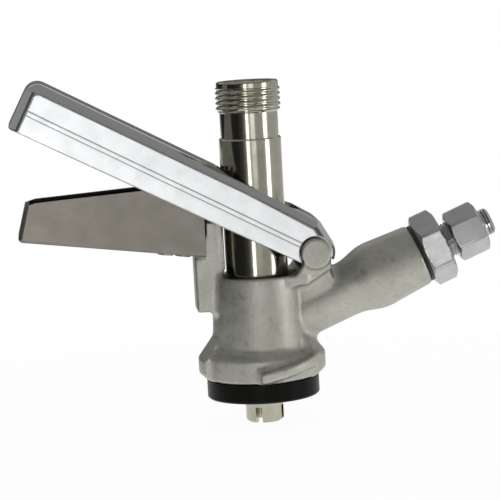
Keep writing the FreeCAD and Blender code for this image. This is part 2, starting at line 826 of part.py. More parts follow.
def lever_hollow(body):
    """Inside of the channel, and the narrower room between the cheeks at the pivot."""
    inner_heel = "lever_heel - lever_wall"
    below = "-2 * lever_skirt"
    inside = outline(body, "channel_side", "XZ_Plane", [
        ("-lever_heel", below),
        ("-lever_heel", "cheek_top - lever_wall"),
        ("-lever_bend", "lever_bend_height - lever_wall"),
        ("-(lever_length - lever_end_round)", "lever_end_height - lever_wall"),
        ("-(lever_length - lever_wall)", "lever_end_height - lever_end_round"),
        ("-(lever_length - lever_wall)", below),
    ])
    pocket(body, inside, "channel", "2 * lever_inner")
    room = outline(body, "heel_room_side", "XZ_Plane", [
        ("0", below),
        ("0", "0"),
        (f"({inner_heel}) * sin(heel_turn)", f"({inner_heel}) * cos(heel_turn)"),
        ("-lever_crown", "lever_crown_height - lever_wall"),
        ("-lever_heel", "cheek_top - lever_wall"),
        ("-lever_heel", below),
    ])
    pocket(body, room, "heel_room", "2 * dish_back")
    turn = disc(body, "heel_turn_side", "XZ_Plane", ("0", "0"), inner_heel)
    pocket(body, turn, "heel_round_room", "2 * dish_back")


def bead_line(body):
    """Raised line along the middle of each side."""
    start = "-lever_heel"
    end = "-(lever_length - lever_shoulder)"
    bead = outline(body, "bead_side", "XZ_Plane", [
        (start, "bead_low - bead_width / 2"),
        (start, "bead_low + bead_width / 2"),
        (end, "bead_high + bead_width / 2"),
        (end, "bead_high - bead_width / 2"),
    ])
    pad(body, bead, "bead", "2 * (lever_outer + bead_proud)")


def probe_slot(body):
    """Slot through the top, long enough for the probe at both ends of the lever's swing."""
    near = ("-((pivot_reach - lever_inner + (lever_bend_height - lever_wall) * sin(closed_angle))"
            " / cos(closed_angle) - lever_tube_gap)")
    far = ("-((pivot_reach + lever_inner + lever_end_height * sin(lever_angle)) / cos(lever_angle)"
           " + lever_tube_gap)")
    plan = box_outline(body, "slot_plan", "XY_Plane", far, near, "-lever_inner", "lever_inner")
    slot = pocket(body, plan, "probe_slot", "2 * lever_end_height", side="One side", up=True)
    low, high = value(far), value(near)

    def slot_corner(edge):
        box = edge.BoundBox
        upright = box.XLength < 1e-6 and box.YLength < 1e-6 and box.ZLength > 0.5
        return upright and box.ZMin > 0 and min(abs(box.XMin - low), abs(box.XMin - high)) < 1e-6
    round_edges(body, slot, "slot_corners", "slot_corner", slot_corner)


def pivot_dishes(body):
    """Round recess in each side for the casting's ear, with the hub that turns on the pin."""
    for i, lift in enumerate(("dish_back", "-dish_face"), start=1):
        hub = disc(body, f"hub_side_{i}", "XZ_Plane", ("0", "0"), "hub_dia / 2", lift=lift)
        pad(body, hub, f"hub_{i}", "dish_face - dish_back", side="One side")
    for i, lift in enumerate(("dish_face", "-2 * lever_outer"), start=1):
        dish = disc(body, f"dish_side_{i}", "XZ_Plane", ("0", "0"), "dish_dia / 2", lift=lift)
        pocket(body, dish, f"dish_{i}", "2 * lever_outer - dish_face", side="One side", up=True)
    bore = disc(body, "pivot_bore_side", "XZ_Plane", ("0", "0"), "pivot_dia / 2 + running_gap")
    pocket(body, bore, "pivot_bore", "2 * lever_outer")


def drive_slots(body):
    """Blind slots inside both walls, in which the probe's pins ride."""
    edge = "drive_pin_dia / 2 + drive_slot_gap"
    plan = box_outline(body, "drive_slot_side", "XZ_Plane",
                       f"-(pin_open + {edge})", f"-(pin_closed - ({edge}))", f"-({edge})", edge)
    pocket(body, plan, "drive_slot", "2 * (lever_inner + drive_pin_reach + side_play)")


def fixed_grip():
    """Open channel whose own axes start at its lower inner corner."""
    body = part_body("fixed_grip")
    body.Placement.Rotation.Axis = Vector(0, 1, 0)
    body.setExpression("Placement.Rotation.Angle", bound("grip_rise"))
    body.setExpression("Placement.Base.x", bound("-grip_root_reach"))
    body.setExpression("Placement.Base.z", bound("grip_root_height"))
    side = outline(body, "grip_side", "XZ_Plane", [
        ("grip_overhang", "0"),
        ("grip_overhang - grip_back_lean", "grip_back_height"),
        ("-grip_crown", "grip_crown_height"),
        ("-(grip_length - grip_end_lean - grip_nose)", "grip_nose_height"),
        ("-(grip_length - grip_end_lean)", "grip_end_height"),
        ("-grip_length", "0"),
    ])
    block = pad(body, side, "grip_block", "grip_width")
    wide = value("grip_width / 2")
    tip = -value("grip_length - grip_end_lean")

    def on_side(edge):
        return all(abs(abs(v.Y) - wide) < 1e-6 for v in edge.Vertexes) and edge.BoundBox.YLength < 1e-6

    def rounded(edge):
        floor = edge.BoundBox.ZMax < 1e-6
        end = edge.BoundBox.XMax < tip + 1e-6
        return (on_side(edge) and (floor or end)) or (floor and end)
    round_edges(body, block, "grip_rounds", "grip_round", rounded)
    inside = outline(body, "grip_inside_side", "XZ_Plane", [
        ("2 * grip_overhang", "grip_wall"),
        ("2 * grip_overhang", "2 * grip_crown_height"),
        ("-(grip_length - grip_wall) + 2 * grip_end_lean * grip_crown_height / grip_end_height",
         "2 * grip_crown_height"),
        ("-(grip_length - grip_wall)", "grip_wall"),
    ])
    pocket(body, inside, "grip_channel", "grip_width - 2 * grip_wall")
    for i in range(2):
        hole = disc(body, f"grip_hole_plan_{i + 1}", "XY_Plane", (f"-(rivet_first + {i} * rivet_pitch)", "0"),
                    "rivet_dia / 2")
        pocket(body, hole, f"grip_hole_{i + 1}", "grip_wall", side="One side", up=True)
    return body


def grip_rivets():
    """Two rivets through the grip's floor and the bracket's tongue."""
    rivets = []
    for i in range(2):
        reach = f"(rivet_first + {i} * rivet_pitch)"
        levels = [
            ("foot", "rivet_head_dia / 2", "-rivet_head_thick", "rivet_head_thick"),
            ("shank", "rivet_dia / 2", "0", "grip_wall + tongue_thick"),
            ("head", "rivet_head_dia / 2", "grip_wall + tongue_thick", "rivet_head_thick"),
        ]
        pieces = []
        for part, radius, level, length in levels:
            piece = document.addObject("Part::Cylinder", f"rivet_{part}_{i + 1}")
            piece.setExpression("Radius", bound(radius))
            piece.setExpression("Height", bound(length))
            piece.Placement.Rotation.Axis = Vector(0, 1, 0)
            piece.setExpression("Placement.Rotation.Angle", bound("grip_rise"))
            across = f"-grip_root_reach - {reach} * cos(grip_rise) + ({level}) * sin(grip_rise)"
            up = f"grip_root_height + {reach} * sin(grip_rise) + ({level}) * cos(grip_rise)"
            piece.setExpression("Placement.Base.x", bound(across))
            piece.setExpression("Placement.Base.z", bound(up))
            pieces.append(piece)
        rivets.append(joined("MultiFuse", f"rivet_{i + 1}", pieces))
    return joined("Compound", "grip_rivets", rivets)


def arm_turned(label, corners):
    """Piece turned about the gas arm's axis, from an outline of places along it and radii."""
    body = along_arm(part_body(label))
    turned(body, outline(body, label + "_side", "XZ_Plane", corners), label + "_turned", "H_Axis")
    return body


def gas_washer():
    return arm_turned("gas_washer", [
        ("arm_length", "socket_dia / 2"),
        ("adapter_face", "socket_dia / 2"),
        ("adapter_face", "gas_washer_dia / 2"),
        ("arm_length", "gas_washer_dia / 2"),
    ])


def hexagon(body, name, across, turn, start, length):
    """Hexagonal prism along the arm with its end corners bevelled."""
    corner = f"{across} / 2 / cos(30)"
    corners = [(f"{corner} * cos({turn} + {60 * i})", f"{corner} * sin({turn} + {60 * i})") for i in range(6)]
    plan = outline(body, name + "_plan", "YZ_Plane", corners, lift=start)
    pad(body, plan, name, length, side="One side")
    reach = f"({corner} - {across} / 2 + hex_bevel)"
    for end, place, way in (("near", start, 1), ("far", f"{start} + {length}", -1)):
        bevel = outline(body, f"{name}_bevel_{end}_side", "XZ_Plane", [
            (place, f"{across} / 2 - hex_bevel / 2"),
            (f"{place} + {way} * {reach} * tan(30)", f"{across} / 2 - hex_bevel / 2 + {reach}"),
            (place, f"{across} / 2 - hex_bevel / 2 + {reach}"),
        ])
        turned(body, bevel, f"{name}_bevel_{end}", "H_Axis", cut=True)


def gas_adapter():
    """Double-ended fitting: thread into the arm, large hexagon, smaller thread for the nut."""
    body = along_arm(part_body("gas_adapter"))
    threads = outline(body, "adapter_side", "XZ_Plane", [
        ("adapter_inner_end", "0"),
        ("adapter_end", "0"),
        ("adapter_end", "adapter_thread_dia / 2"),
        ("adapter_back - lead_in", "adapter_thread_dia / 2"),
        ("adapter_back - lead_in", "socket_dia / 2 - running_gap"),
        ("adapter_inner_end", "socket_dia / 2 - running_gap"),
    ])
    turned(body, threads, "adapter_threads", "H_Axis")
    hexagon(body, "adapter_hex", "adapter_across", "adapter_turn", "adapter_face", "adapter_hex_length")
    bore = box_outline(body, "adapter_bore_side", "XZ_Plane", "adapter_inner_end", "adapter_end",
                       "0", "adapter_bore / 2")
    turned(body, bore, "adapter_way", "H_Axis", cut=True)
    return body


def gas_check_valve():
    """Rubber duckbill that lets gas in toward the barrel."""
    tip = "valve_seat - valve_length"
    body = arm_turned("gas_check_valve", [
        (tip, "0"),
        (tip, "valve_lip_dia / 2"),
        ("valve_seat", "valve_root_dia / 2"),
        ("valve_seat", "socket_dia / 2 - running_gap"),
        ("valve_seat + valve_flange_thick", "socket_dia / 2 - running_gap"),
        ("valve_seat + valve_flange_thick", "valve_root_dia / 2 - valve_wall"),
        (f"{tip} + 2 * valve_wall", "valve_lip_dia / 2 - valve_wall"),
        (f"{tip} + 2 * valve_wall", "0"),
    ])
    slit = box_outline(body, "slit_side", "XZ_Plane", f"{tip} - valve_wall", f"{tip} + 3 * valve_wall",
                       "-valve_slit / 2", "valve_slit / 2")
    pocket(body, slit, "slit", "valve_lip_dia - valve_wall")
    return body


def valve_retainer():
    return arm_turned("valve_retainer", [
        ("valve_seat + valve_flange_thick", "valve_retainer_bore / 2"),
        ("adapter_inner_end", "valve_retainer_bore / 2"),
        ("adapter_inner_end", "socket_dia / 2 - running_gap"),
        ("valve_seat + valve_flange_thick", "socket_dia / 2 - running_gap"),
    ])


def gas_union_nut():
    body = along_arm(part_body("gas_union_nut"))
    hexagon(body, "nut_hex", "nut_across", "nut_turn", "nut_face", "nut_length")
    wide = "adapter_thread_dia / 2 + running_gap"
    narrow = "tail_dia / 2 + running_gap"
    bore = outline(body, "nut_bore_side", "XZ_Plane", [
        ("nut_face", "0"),
        ("nut_end", "0"),
        ("nut_end", narrow),
        (f"ferrule_back + ({wide}) - ({narrow})", narrow),
        ("ferrule_back", wide),
        ("nut_face", wide),
    ])
    turned(body, bore, "nut_way", "H_Axis", cut=True)
    return body


def gas_tail():
    """Stub tube out of the nut, with ridges at its open end."""
    ridge = "tail_dia / 2 - tail_ridge"
    return arm_turned("gas_tail", [
        ("adapter_end", "tail_bore / 2"),
        ("tail_end", "tail_bore / 2"),
        ("tail_end", f"{ridge} - tail_ridge"),
        ("tail_end - 2 * tail_ridge", "tail_dia / 2"),
        ("tail_end - 2 * tail_ridge", ridge),
        ("tail_end - 4 * tail_ridge", "tail_dia / 2"),
        ("tail_end - 4 * tail_ridge", ridge),
        ("tail_end - 6 * tail_ridge", "tail_dia / 2"),
        ("adapter_end", "tail_dia / 2"),
    ])


def tail_ferrule():
    """Cone ring that the nut presses on the tube."""
    return arm_turned("tail_ferrule", [
        ("adapter_end", "tail_dia / 2"),
        ("ferrule_back", "tail_dia / 2"),
        ("ferrule_back", "adapter_thread_dia / 2 - 2 * running_gap"),
        ("adapter_end", "adapter_thread_dia / 2 - ferrule_length / 4"),
    ])


makers = [
    body_casting, keg_seal, probe_oring, wiper_ring, fixed_grip, grip_rivets,
    lever, pivot_pin, pivot_washers,
    probe, drive_pins, probe_tip_seal, ball_retainer, check_ball,
    gas_washer, gas_check_valve, valve_retainer, gas_adapter, gas_union_nut, tail_ferrule, gas_tail,
]
nodes = [make() for make in makers]
document.recompute()

for item in document.Objects:
    if "Invalid" in item.State or "Error" in item.State:
        raise RuntimeError(f"{item.Label} failed: {item.State}")
for node in nodes:
    if node.Shape.isNull() or not node.Shape.isValid() or not node.Shape.Solids:
        raise RuntimeError(f"{node.Label} has no valid solid")

os.makedirs("parts", exist_ok=True)
for node in nodes:
    node.Shape.exportStep(f"parts/{node.Label}.step")
    box = node.Shape.BoundBox
    low = [round(edge, 1) for edge in (box.XMin, box.YMin, box.ZMin)]
    high = [round(edge, 1) for edge in (box.XMax, box.YMax, box.ZMax)]
    print(f"{node.Label}: {len(node.Shape.Solids)} solid, {node.Shape.Volume:.0f} mm3, {low} to {high}")
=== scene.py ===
import json
import math

import bmesh
import bpy
import numpy as np
import openvdb
from mathutils import Matrix, Vector


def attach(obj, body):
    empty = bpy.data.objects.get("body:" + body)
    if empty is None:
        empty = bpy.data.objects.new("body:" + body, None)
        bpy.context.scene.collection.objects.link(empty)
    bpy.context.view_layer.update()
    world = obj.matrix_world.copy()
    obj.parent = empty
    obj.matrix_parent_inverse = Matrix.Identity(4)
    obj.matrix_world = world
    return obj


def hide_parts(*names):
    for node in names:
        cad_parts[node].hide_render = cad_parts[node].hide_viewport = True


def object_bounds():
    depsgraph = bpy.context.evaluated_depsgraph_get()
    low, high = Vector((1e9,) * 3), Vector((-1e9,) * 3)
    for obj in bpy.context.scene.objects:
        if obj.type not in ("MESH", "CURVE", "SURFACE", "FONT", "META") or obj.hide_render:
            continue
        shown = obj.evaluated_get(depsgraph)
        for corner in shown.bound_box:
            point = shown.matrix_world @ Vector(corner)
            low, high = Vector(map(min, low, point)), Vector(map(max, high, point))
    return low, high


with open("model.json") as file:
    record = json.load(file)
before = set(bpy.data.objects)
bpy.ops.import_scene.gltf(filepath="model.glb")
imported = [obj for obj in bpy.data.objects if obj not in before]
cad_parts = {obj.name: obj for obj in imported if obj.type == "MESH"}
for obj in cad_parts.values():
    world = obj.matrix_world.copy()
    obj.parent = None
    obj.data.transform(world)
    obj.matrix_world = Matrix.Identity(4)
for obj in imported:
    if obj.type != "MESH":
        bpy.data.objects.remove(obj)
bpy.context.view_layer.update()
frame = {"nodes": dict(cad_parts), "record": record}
nodes = frame["nodes"]

MM = 0.001

# Sizes of the coupler that the looks need, in millimetres, as the model has them
ARM_HEIGHT = 23.0
ARM_TILT = math.radians(22.0)
PIVOT_REACH = 19.85
PIVOT_HEIGHT = 51.0
LEVER_ANGLE = math.radians(28.4)
LEVER_OUTER = 13.5
BEAD_START = 7.25
BEAD_LOW = 0.4
BEAD_RISE = 0.0173
BEAD_HALF = 0.8
LINE_HALF = 0.15
PIN_PLUG_RADIUS = 5.35
PIN_PLUG_FRONT = -14.95
PIN_PLUG_BACK = -13.2
GRIP_RISE = math.radians(8.3)
GRIP_HALF = 8.5
TUBE_RADIUS = 11.0
NECK_RADIUS = 10.2
STEM_RADIUS = 6.75
BEER_RADIUS = 3.6
TIP_FOOT = -9.3
TIP_BEVEL = 0.8
TIP_NOTCHES = 4
NOTCH_WIDTH = 2.4
NOTCH_DEPTH = 5.6
NOTCH_TURN = math.radians(-23.6)
SEAL_FLANGE_RADIUS = 8.6
SEAL_FLANGE_FOOT = 4.8
SEAL_FLANGE_TOP = 6.8
SEAL_FLANGE_BEVEL = 0.25
TUBE_FOOT = 24.0
NECK_FOOT = 92.0
NECK_BEVEL = 0.45
THREAD_FOOT = 101.0
OUTLET_HEIGHT = 111.8
OUTLET_RADIUS = 11.45
OUTLET_BEVEL = 0.9
OUTLET_CORE = 9.6
OUTLET_PITCH = 1.814
THREAD_DEPTH = 0.55
THREAD_LEAD = 2.0
BALL_BORE_RADIUS = 7.2
BALL_SEAT_FOOT = 96.55
BALL_SEAT_TOP = 100.15
RETAINER_RADIUS = 8.2
RETAINER_SEAT = 108.6
DRIVE_HEIGHT = 61.73
DRIVE_RADIUS = 1.8
DRIVE_DEPTH = 4.0
FITTING_FOOT = 51.2
FITTING_SHANK_RADIUS = 7.9
HEX_FACE = 63.8
HEX_BACK = 72.6
HEX_ACROSS = 23.5
HEX_TURN = math.radians(26.0)
HEX_BEVEL = 0.9
HEX_CORNER_SHARE = 0.012
NECK_END = 80.2
NECK_THREAD_RADIUS = 6.3
NECK_THREAD_CORE = 5.2
NECK_THREAD_PITCH = 1.0
NECK_THREAD_DEPTH = 0.5
NECK_THREAD_BEVEL = 0.5
NECK_THREAD_LEAD = 0.6
FITTING_BORE_RADIUS = 3.3
NUT_FACE = 75.6
NUT_END = 87.2
NUT_ACROSS = 16.5
NUT_TURN = math.radians(22.5)
NUT_BORE_RADIUS = 6.35
NUT_THROAT = 85.5
NUT_EXIT_RADIUS = 5.05


class Value:
    """A node's output that takes part in plain sums; each sum adds its Math node."""

    def __init__(self, tree, socket):
        self.tree = tree
        self.socket = socket

    def sum_with(self, operation, first, second):
        math_node = self.tree.nodes.new("ShaderNodeMath")
        math_node.operation = operation
        for slot, term in zip(math_node.inputs, (first, second)):
            if isinstance(term, Value):
                self.tree.links.new(term.socket, slot)
            else:
                slot.default_value = term
        return Value(self.tree, math_node.outputs[0])

    def __add__(self, other):
        return self.sum_with("ADD", self, other)

    def __radd__(self, other):
        return self.sum_with("ADD", other, self)

    def __sub__(self, other):
        return self.sum_with("SUBTRACT", self, other)

    def __rsub__(self, other):
        return self.sum_with("SUBTRACT", other, self)

    def __mul__(self, other):
        return self.sum_with("MULTIPLY", self, other)

    def __rmul__(self, other):
        return self.sum_with("MULTIPLY", other, self)

    def __truediv__(self, other):
        return self.sum_with("DIVIDE", self, other)

    def __rtruediv__(self, other):
        return self.sum_with("DIVIDE", other, self)

    def least(self, other):
        return self.sum_with("MINIMUM", self, other)

    def most(self, other):
        return self.sum_with("MAXIMUM", self, other)

    def above(self, level):
        return self.sum_with("GREATER_THAN", self, level)

    def part_of_turn(self):
        return self.sum_with("FRACT", self, 0.0)

    def size(self):
        return self.sum_with("ABSOLUTE", self, 0.0)

    def sine(self):
        return self.sum_with("SINE", self, 0.0)

    def cosine(self):
        return self.sum_with("COSINE", self, 0.0)


class Tree:
    """A node tree that is written down as values and named nodes."""

    def __init__(self, tree):
        self.tree = tree

    def node(self, kind, settings=None, sockets=None):
        """Adds a node: its settings first, then the values or links of its sockets."""
        made = self.tree.nodes.new(kind)
        for name, setting in (settings or {}).items():
            if name == "stops":
                ramp = made.color_ramp
                while len(ramp.elements) > 1:
                    ramp.elements.remove(ramp.elements[0])
                for i, (place, shade) in enumerate(setting):
                    stop = ramp.elements[0] if i == 0 else ramp.elements.new(place)
                    stop.position = place
                    stop.color = (shade, shade, shade, 1.0) if isinstance(shade, float) else (*shade, 1.0)
            else:
                setattr(made, name, setting)
        for name, term in (sockets or {}).items():
            if isinstance(term, Value):
                self.tree.links.new(term.socket, made.inputs[name])
            else:
                made.inputs[name].default_value = term
        return made

    def value(self, kind, settings=None, sockets=None, output=0):
        made = self.node(kind, settings, sockets)
        return Value(self.tree, made.outputs[output])

    def place(self, scale=(1, 1, 1), turn=(0, 0, 0)):
        """Object coordinates, turned and then stretched."""
        spot = self.value("ShaderNodeTexCoord", output="Object")
        return self.value("ShaderNodeMapping", {"vector_type": "TEXTURE"}, {
            "Vector": spot, "Rotation": turn,
            "Scale": tuple(1 / s for s in scale)})

    def noise(self, size, place, detail=3.0, rough=0.55):
        """Cloudy pattern whose blotches are about size millimetres."""
        return self.value("ShaderNodeTexNoise", {"noise_dimensions": "3D"}, {
            "Vector": place, "Scale": 1 / (size * MM), "Detail": detail, "Roughness": rough})

    def between(self, value, low, high, start=0.0, end=1.0):
        return self.value("ShaderNodeMapRange", {"clamp": True}, {
            "Value": value, "From Min": low, "From Max": high, "To Min": start, "To Max": end})

    def tint(self, amount, first, second):
        return self.value("ShaderNodeMix", {"data_type": "RGBA"}, {
            "Factor": amount, 6: (*first, 1.0) if not isinstance(first, Value) else first,
            7: (*second, 1.0) if not isinstance(second, Value) else second}, output=2)

    def bump(self, height, depth, strength=1.0):
        """Relief whose full height is depth millimetres."""
        return self.value("ShaderNodeBump", {}, {
            "Height": height, "Distance": depth * MM, "Strength": strength}, output="Normal")


class Finish(Tree):
    """A surface's finish: its own Principled shader with what varies linked in."""

    def __init__(self, name, **fixed):
        self.material = bpy.data.materials.new(name)
        self.material.use_nodes = True
        super().__init__(self.material.node_tree)
        self.shader = self.tree.nodes["Principled BSDF"]
        for socket, setting in fixed.items():
            self.put(socket.replace("_", " "), setting)

    def put(self, socket, term):
        if isinstance(term, Value):
            self.tree.links.new(term.socket, self.shader.inputs[socket])
        else:
            self.shader.inputs[socket].default_value = term
        return self


def along_arm_turn():
    """Turn that brings pattern coordinates in line with the gas arm."""
    return (0, -ARM_TILT, 0)


def cast_finish():
    """Bead-blasted casting: fine even grain, slow tone changes, a darker skin in small patches."""
    m = Finish("bead_blasted_casting", Metallic=1.0)
    spot = m.place()
    grain = m.noise(0.45, spot, 2.0)
    skin = m.noise(1.9, spot, 5.0)
    cloud = m.noise(9.0, spot, 4.0)
    tone = m.tint(m.between(cloud, 0.32, 0.68), (0.43, 0.425, 0.375), (0.51, 0.505, 0.455))
    tone = m.tint(m.between(skin, 0.30, 0.48, 0.42, 0.0), tone, (0.25, 0.245, 0.20))
    m.put("Base Color", tone)
    m.put("Roughness", m.between(skin + grain * 0.5, 0.55, 0.95, 0.42, 0.56))
    m.put("Normal", m.bump(grain * 0.5 + skin, 0.07))
    return m.material


def chrome_finish():
    """Plated lever: satin flat sides with a pressed double line, glossier shoulders, a darker grey painted
    off the flat sides as painted dark reflection, and painted shade along the creases and the bead's edge
    lines."""
    m = Finish("satin_plated_lever", Metallic=1.0)
    spot = m.node("ShaderNodeSeparateXYZ", {}, {"Vector": m.place()})
    across = Value(m.tree, spot.outputs["Y"]).size()
    ahead = Value(m.tree, spot.outputs["X"]) - PIVOT_REACH * MM
    above = Value(m.tree, spot.outputs["Z"]) - PIVOT_HEIGHT * MM
    reach = above * math.sin(LEVER_ANGLE) - ahead * math.cos(LEVER_ANGLE)
    height = ahead * math.sin(LEVER_ANGLE) + above * math.cos(LEVER_ANGLE)
    # mask of the flat sides; everything off them (shoulders, top, lower rounds) gets a darker grey as
    # painted dark reflection
    flat = m.between(across, (LEVER_OUTER - 0.10) * MM, (LEVER_OUTER - 0.03) * MM)
    # painted shade: a near-black strip where the flat sides turn into the rounds above and below them
    crease_shade = flat * (1.0 - m.between(across, (LEVER_OUTER - 0.03) * MM, (LEVER_OUTER - 0.004) * MM))
    # the pressed bead's two edge lines: a real groove in the bump, and painted shade as a dark colour
    off_line = (height - (reach - BEAD_START * MM) * BEAD_RISE - BEAD_LOW * MM).size()
    bead_groove_and_shade = 1.0 - m.between((off_line - BEAD_HALF * MM).size(), LINE_HALF * MM, 2 * LINE_HALF * MM)
    bead_groove_and_shade = bead_groove_and_shade * m.between(across, (LEVER_OUTER - 0.2) * MM, (LEVER_OUTER - 0.1) * MM)
    lengthwise = m.place(turn=(0, LEVER_ANGLE, 0), scale=(0.05, 1, 1))
    lines = m.noise(0.5, lengthwise, 4.0)
    waves = m.noise(14.0, m.place(), 1.0)
    smear = m.noise(5.0, m.place(), 4.0)
    plate = m.tint(m.between(smear, 0.35, 0.75), (0.93, 0.945, 0.955), (0.84, 0.86, 0.87))
    # painted dark reflection: the plate colour is kept only on the flat sides, the rest is darkened to mid
    # grey
    tone = m.tint(flat, (0.52, 0.525, 0.53), plate)
    # painted shade: the bead's edge lines and the crease strip are darkened towards near black
    tone = m.tint((bead_groove_and_shade * 0.6).most(crease_shade * 0.8), tone, (0.08, 0.08, 0.08))
    m.put("Base Color", tone)
    m.put("Roughness", m.between(lines + smear, 0.7, 1.3, 0.14, 0.22) + flat * 0.17)
    m.put("Normal", m.bump(waves + lines * 0.03 + bead_groove_and_shade * -0.5, 0.06))
    return m.material


def grip_finish():
    """Satin sheet, ground along its length, browner and duller than the lever, with painted shade making
    the channel's inside near black.
    """
    m = Finish("satin_sheet", Metallic=1.0)
    lengthwise = m.place(turn=(0, GRIP_RISE, 0), scale=(0.04, 1, 1))
    lines = m.noise(0.35, lengthwise, 4.0)
    cloud = m.noise(9.0, m.place(), 3.0)
    edge = m.node("ShaderNodeSeparateXYZ", {}, {"Vector": m.place()})
    inward = Value(m.tree, edge.outputs["Y"]).size()
    # painted shade: all of the grip nearer the middle than the walls' outer faces, the channel's inside and
    # its underside, goes near black
    inside = 1.0 - m.between(inward, (GRIP_HALF - 0.9) * MM, (GRIP_HALF - 0.5) * MM)
    sheet = m.tint(m.between(cloud, 0.35, 0.7), (0.255, 0.24, 0.21), (0.21, 0.197, 0.17))
    m.put("Base Color", m.tint(inside * 0.8, sheet, (0.04, 0.038, 0.035)))
    m.put("Roughness", m.between(lines, 0.3, 0.75, 0.34, 0.46))
    m.put("Normal", m.bump(lines, 0.012))
    return m.material


def turned_finish(name, bright, dull, low, high, ring=0.25, turn=(0, 0, 0), depth=0.006):
    """Turned and polished metal: rings round its axis that crossing light picks out."""
    m = Finish(name, Metallic=1.0)
    rings = m.noise(ring, m.place(scale=(0.03, 0.03, 1), turn=turn), 3.0)
    cloud = m.noise(6.0, m.place(), 3.0)
    m.put("Base Color", m.tint(m.between(cloud, 0.35, 0.7), bright, dull))
    m.put("Roughness", m.between(rings + cloud * 0.5, 0.5, 1.0, low, high))
    m.put("Normal", m.bump(rings, depth))
    return m.material


def rubber_finish():
    """Matt black rubber with a dusty bloom and mould grain."""
    m = Finish("black_rubber", Metallic=0.0, Specular_IOR_Level=0.1)
    grain = m.noise(0.3, m.place(), 3.0)
    bloom = m.noise(4.0, m.place(scale=(1, 1, 0.3)), 4.0)
    m.put("Base Color", m.tint(m.between(bloom, 0.5, 0.8), (0.003, 0.003, 0.002), (0.010, 0.0095, 0.008)))
    m.put("Roughness", m.between(grain, 0.3, 0.7, 0.30, 0.42))
    m.put("Normal", m.bump(grain, 0.03))
    return m.material


def moulded_finish(name, colour, worn):
    """Moulded plastic with a faint mottle."""
    m = Finish(name, Metallic=0.0)
    mottle = m.noise(3.0, m.place(), 3.0)
    m.put("Base Color", m.tint(m.between(mottle, 0.4, 0.75), colour, worn))
    m.put("Roughness", m.between(mottle, 0.3, 0.7, 0.35, 0.5))
    m.put("Normal", m.bump(m.noise(0.4, m.place(), 2.0), 0.01))
    return m.material


FINISHES = {
    "cast_metal": cast_finish(),
    "lever_chrome": chrome_finish(),
    "grip_steel": grip_finish(),
    "probe_steel": turned_finish("polished_tube", (0.47, 0.455, 0.38), (0.39, 0.375, 0.29), 0.10, 0.20),
    "fitting_nickel": turned_finish("plated_fitting", (0.50, 0.505, 0.50), (0.43, 0.435, 0.43), 0.20, 0.28,
                                    turn=along_arm_turn(), depth=0.002),
    "pin_steel": turned_finish("ground_pin", (0.45, 0.43, 0.40), (0.36, 0.34, 0.31), 0.35, 0.5),
    "black_rubber": rubber_finish(),
    "white_plastic": moulded_finish("white_nylon", (0.80, 0.80, 0.76), (0.70, 0.70, 0.65)),
    "black_plastic": moulded_finish("black_acetal", (0.012, 0.012, 0.012), (0.025, 0.025, 0.023)),
    "ferrule_brass": turned_finish("brass_ferrule", (0.72, 0.58, 0.30), (0.62, 0.48, 0.24), 0.25, 0.4,
                                   turn=along_arm_turn()),
}


def dress(piece, slot):
    """Gives a piece the finish of a material slot."""
    piece.data.materials.clear()
    piece.data.materials.append(FINISHES[slot])


for part in frame["record"]["subparts"]:
    dress(nodes[part["node"]], part["material_slot"])


def new_piece(name, mesh, slot, body, *replaced):
    """Puts a finished mesh in the scene as a piece that rides on a body."""
    piece = bpy.data.objects.new(name, mesh)
    bpy.context.scene.collection.objects.link(piece)
    dress(piece, slot)
    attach(piece, body)
    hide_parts(*replaced)
    return piece


SAME_CORNER = 0.0001 * MM
PLUG_SIDES = 64
PIN_SIDES = 32


def merged_copy(node):
    """A node's triangles with their shared corners joined, as arrays of points and corners."""
    sheet = bmesh.new()
    sheet.from_mesh(nodes[node].data)
    bmesh.ops.remove_doubles(sheet, verts=sheet.verts, dist=SAME_CORNER)
    bmesh.ops.triangulate(sheet, faces=sheet.faces)
    points = np.array([v.co for v in sheet.verts], np.float32)
    corners = np.array([[v.index for v in f.verts] for f in sheet.faces], np.uint32)
    sheet.free()
    return points, corners


SHARP_ANGLE = math.radians(28.0)
NO_TRIANGLES = np.zeros((0, 3), np.uint32)
NO_QUADS = np.zeros((0, 4), np.uint32)
CAST_VOXEL = 0.36 * MM
CAST_FILLET = 2.2 * MM
CAST_EDGE = 0.55 * MM


def distance_field(points, triangles, quads, reach):
    """Distances from a closed surface, known up to a reach on both sides of it."""
    cells = openvdb.createLinearTransform(voxelSize=CAST_VOXEL)
    return openvdb.FloatGrid.createLevelSetFromPolygons(
        points, triangles=triangles, quads=quads, transform=cells, halfWidth=reach / CAST_VOXEL + 2)


def skin_at(field, distance):
    """Surface at a distance outside (or, below zero, inside) of a distance field's own surface."""
    points, quads = field.convertToQuads(distance)
    return points, quads[:, ::-1]


def grown(field, distance, reach):
    """Distance field of the surface that lies at a distance from another field's surface."""
    points, quads = skin_at(field, distance)
    return distance_field(points, NO_TRIANGLES, quads, reach)


def with_plug(points, triangles):
    """Adds the pin's peened end, which covers the front boss, to the casting's triangles."""
    sheet = bmesh.new()
    middle = (PIN_PLUG_FRONT + PIN_PLUG_BACK) / 2
    place = Matrix.Translation((PIVOT_REACH * MM, middle * MM, PIVOT_HEIGHT * MM))
    bmesh.ops.create_cone(sheet, cap_ends=True, segments=PLUG_SIDES, radius1=PIN_PLUG_RADIUS * MM,
                          radius2=PIN_PLUG_RADIUS * MM, depth=(PIN_PLUG_BACK - PIN_PLUG_FRONT) * MM,
                          matrix=place @ Matrix.Rotation(math.pi / 2, 4, "X"))
    bmesh.ops.recalc_face_normals(sheet, faces=sheet.faces)
    bmesh.ops.triangulate(sheet, faces=sheet.faces)
    more = np.array([v.co for v in sheet.verts], np.float32)
    corners = np.array([[v.index for v in f.verts] for f in sheet.faces], np.uint32)
    sheet.free()
    return np.concatenate((points, more)), np.concatenate((triangles, corners + len(points)))


